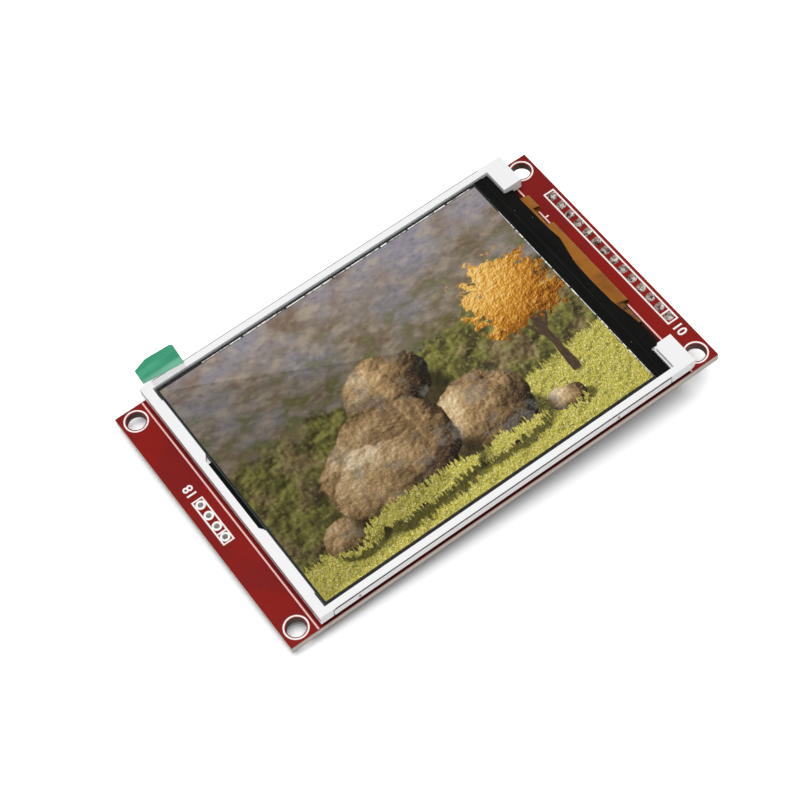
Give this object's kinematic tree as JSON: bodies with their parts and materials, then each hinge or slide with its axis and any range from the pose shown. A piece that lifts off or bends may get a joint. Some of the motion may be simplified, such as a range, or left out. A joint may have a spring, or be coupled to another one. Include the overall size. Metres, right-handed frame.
{
  "type": "tft display module",
  "caption": "Colour liquid-crystal display panel with a folded amber flex, taped to a red circuit board with a pin header, a memory-card socket and corner mounting holes.",
  "frame": {"origin": "centre of the four mounting holes, on the underside of the circuit board", "axes": "+X along the board to the pin-header end, +Y to the top of the picture, +Z out of the screen"},
  "size_m": [0.0892, 0.0602, 0.0137],
  "materials": {
    "board_laminate": "sawn glass-fibre laminate edge",
    "red_lacquer": "semi-gloss red solder lacquer",
    "white_ink": "matt printed ink",
    "tinned_pad": "bright tinned copper",
    "solder": "satin solder with flux haze",
    "gold_plate": "thin gold plate on brass",
    "black_plastic": "moulded, fine satin",
    "chip_plastic": "moulded epoxy",
    "bright_steel": "rolled stainless sheet",
    "white_frame": "moulded white plastic, satin",
    "capacitor_ceramic": "satin ceramic",
    "resistor_ceramic": "glossy black ceramic",
    "black_foam": "soft adhesive foam",
    "black_tape": "glossy black polyester tape",
    "white_sheet": "matt reflecting film",
    "clear_acrylic": "polished acrylic",
    "lamp_body": "white package with yellow phosphor",
    "amber_flex": "polyimide over copper, satin",
    "polarizer_film": "smooth dark film",
    "panel_glass": "thin clear glass",
    "silicon": "polished grey silicon",
    "picture_hills_tone": "lit screen, hazy mauve grey",
    "picture_scrub_tone": "lit screen, olive",
    "picture_grass_tone": "lit screen, yellow green",
    "picture_rock_tone": "lit screen, warm tan",
    "picture_shade_tone": "lit screen, dark brown",
    "picture_leaf_tone": "lit screen, amber",
    "clear_film": "glossy protective film",
    "green_tab": "smooth green tape"
  },
  "bodies": {
    "root": {"circuit_board": "board_laminate", "lacquer_top": "red_lacquer", "lacquer_under": "red_lacquer", "white_print": "white_ink", "row_hole_pads": "tinned_pad", "header_solder": "solder", "header_strip": "black_plastic", "header_pins": "gold_plate", "socket_shell": "bright_steel", "socket_base": "black_plastic", "socket_contacts": "gold_plate", "regulator_bodies": "chip_plastic", "regulator_leads": "tinned_pad", "capacitor_bodies": "capacitor_ceramic", "capacitor_ends": "tinned_pad", "resistor_bodies": "resistor_ceramic", "resistor_ends": "tinned_pad", "bare_chip_pads": "tinned_pad", "foam_tape": "black_foam", "steel_tray": "bright_steel", "lcd_frame": "white_frame", "reflector_sheet": "white_sheet", "light_guide": "clear_acrylic", "lamp_flex": "amber_flex", "lamps": "lamp_body", "diffuser_sheet": "white_sheet", "lower_prism_sheet": "clear_acrylic", "upper_prism_sheet": "clear_acrylic", "rim_tape": "black_tape", "rear_polarizer": "polarizer_film", "rear_glass": "panel_glass", "front_glass": "panel_glass", "front_polarizer": "polarizer_film", "picture_hills": "picture_hills_tone", "picture_scrub": "picture_scrub_tone", "picture_grass": "picture_grass_tone", "picture_rocks": "picture_rock_tone", "picture_shade": "picture_shade_tone", "picture_leaves": "picture_leaf_tone", "driver_chip": "silicon", "panel_flex": "amber_flex", "flex_solder": "tinned_pad", "ledge_tape": "black_tape", "clear_film": "clear_film", "pull_tab": "green_tab"}
  },
  "joints": []
}
